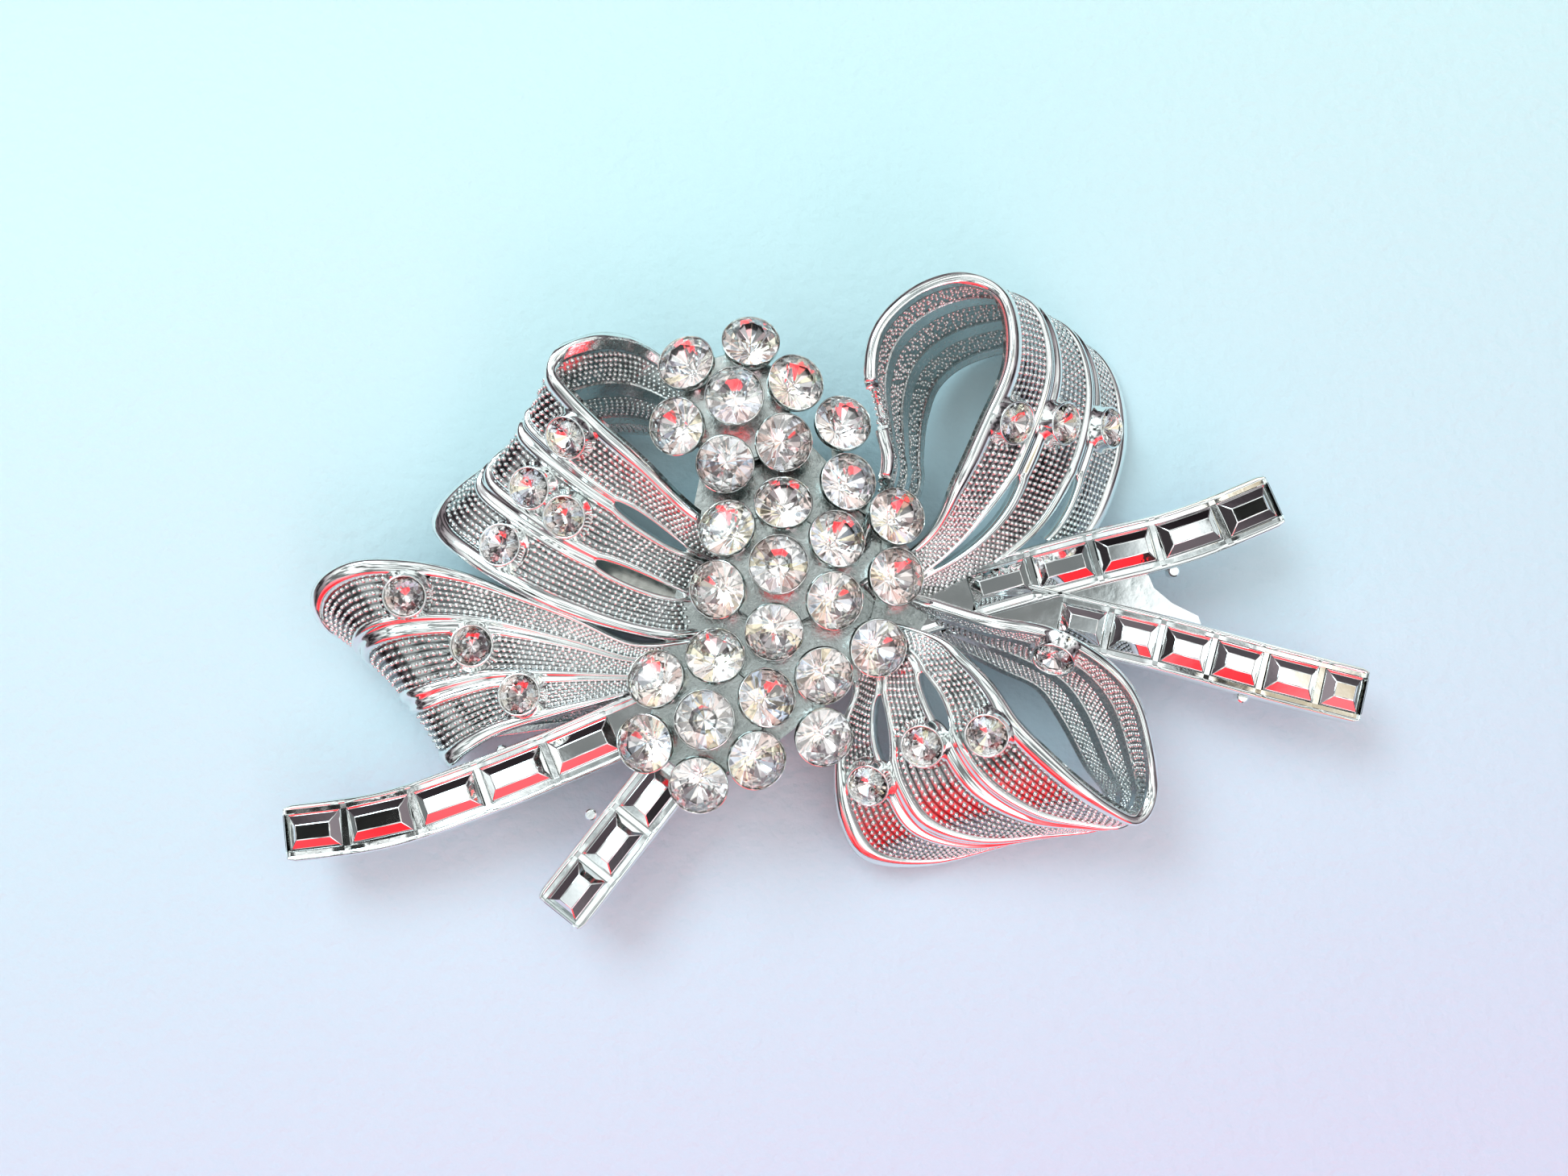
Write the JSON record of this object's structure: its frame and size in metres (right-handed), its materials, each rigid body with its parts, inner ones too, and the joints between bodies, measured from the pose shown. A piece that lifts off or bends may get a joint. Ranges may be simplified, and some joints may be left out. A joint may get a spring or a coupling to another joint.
{
  "type": "ribbon spray brooch",
  "caption": "Costume brooch: looped ribbon bow with channel-set tails, a raised cluster of round stones, and a hinged pin with a turning safety catch.",
  "frame": {"origin": "centre of the brooch in plan, at the surface it lies on when laid on its back", "axes": "+X along the spray towards the two right-hand tails, +Y towards the top of the bow, +Z out of the front of the brooch"},
  "size_m": [0.0852, 0.0497, 0.0139],
  "materials": {
    "bright_plate": "bright rhodium-look plating on cast zinc",
    "cast_plate": "duller plating on the hidden cast hub",
    "cup_plate": "bright plating on stamped cups and their plate",
    "baguette_stone": "foil-backed step-cut glass",
    "clear_stone": "foil-backed faceted glass",
    "finding_plate": "plated pressed brass",
    "pin_steel": "plated drawn steel wire"
  },
  "bodies": {
    "brooch": {"hub": "cast_plate", "loop_upper_left": "bright_plate", "loop_upper_right": "bright_plate", "loop_lower_left": "bright_plate", "loop_lower_right": "bright_plate", "tail_left": "bright_plate", "tail_bottom": "bright_plate", "tail_upper_right": "bright_plate", "tail_lower_right": "bright_plate", "baguettes_left": "baguette_stone", "baguettes_bottom": "baguette_stone", "baguettes_upper_right": "baguette_stone", "baguettes_lower_right": "baguette_stone", "accents_upper_left": "clear_stone", "accents_upper_right": "clear_stone", "accents_lower_left": "clear_stone", "accents_lower_right": "clear_stone", "floret_upper": "cup_plate", "floret_middle": "cup_plate", "floret_lower": "cup_plate", "side_spray": "cup_plate", "stone_upper_1": "clear_stone", "stone_upper_2": "clear_stone", "stone_upper_3": "clear_stone", "stone_upper_4": "clear_stone", "stone_upper_5": "clear_stone", "stone_upper_6": "clear_stone", "stone_upper_7": "clear_stone", "stone_middle_1": "clear_stone", "stone_middle_2": "clear_stone", "stone_middle_3": "clear_stone", "stone_middle_4": "clear_stone", "stone_middle_5": "clear_stone", "stone_middle_6": "clear_stone", "stone_middle_7": "clear_stone", "stone_lower_1": "clear_stone", "stone_lower_2": "clear_stone", "stone_lower_3": "clear_stone", "stone_lower_4": "clear_stone", "stone_lower_5": "clear_stone", "stone_lower_6": "clear_stone", "stone_lower_7": "clear_stone", "stone_side_1": "clear_stone", "stone_side_2": "clear_stone", "stone_side_3": "clear_stone", "stone_side_4": "clear_stone", "stone_side_5": "clear_stone", "stone_side_6": "clear_stone", "stone_side_7": "clear_stone", "pin_bar": "finding_plate", "bar_rivets": "finding_plate", "joint_bracket": "finding_plate", "hinge_rivet": "finding_plate", "catch_housing": "finding_plate"},
    "stem": {"pin_stem": "pin_steel"},
    "rotor": {"catch_rotor": "finding_plate"}
  },
  "joints": [
    {"name": "stem_hinge", "type": "hinge", "parent": "brooch", "child": "stem", "pos_m": [-0.022, 0.002, 0.0017], "axis": [0, 1, 0], "range_deg": [0, 100]},
    {"name": "rotor_turn", "type": "hinge", "parent": "brooch", "child": "rotor", "pos_m": [0.0125, 0.002, 0.0017], "axis": [-1, 0, 0], "range_deg": [0, 110]}
  ]
}
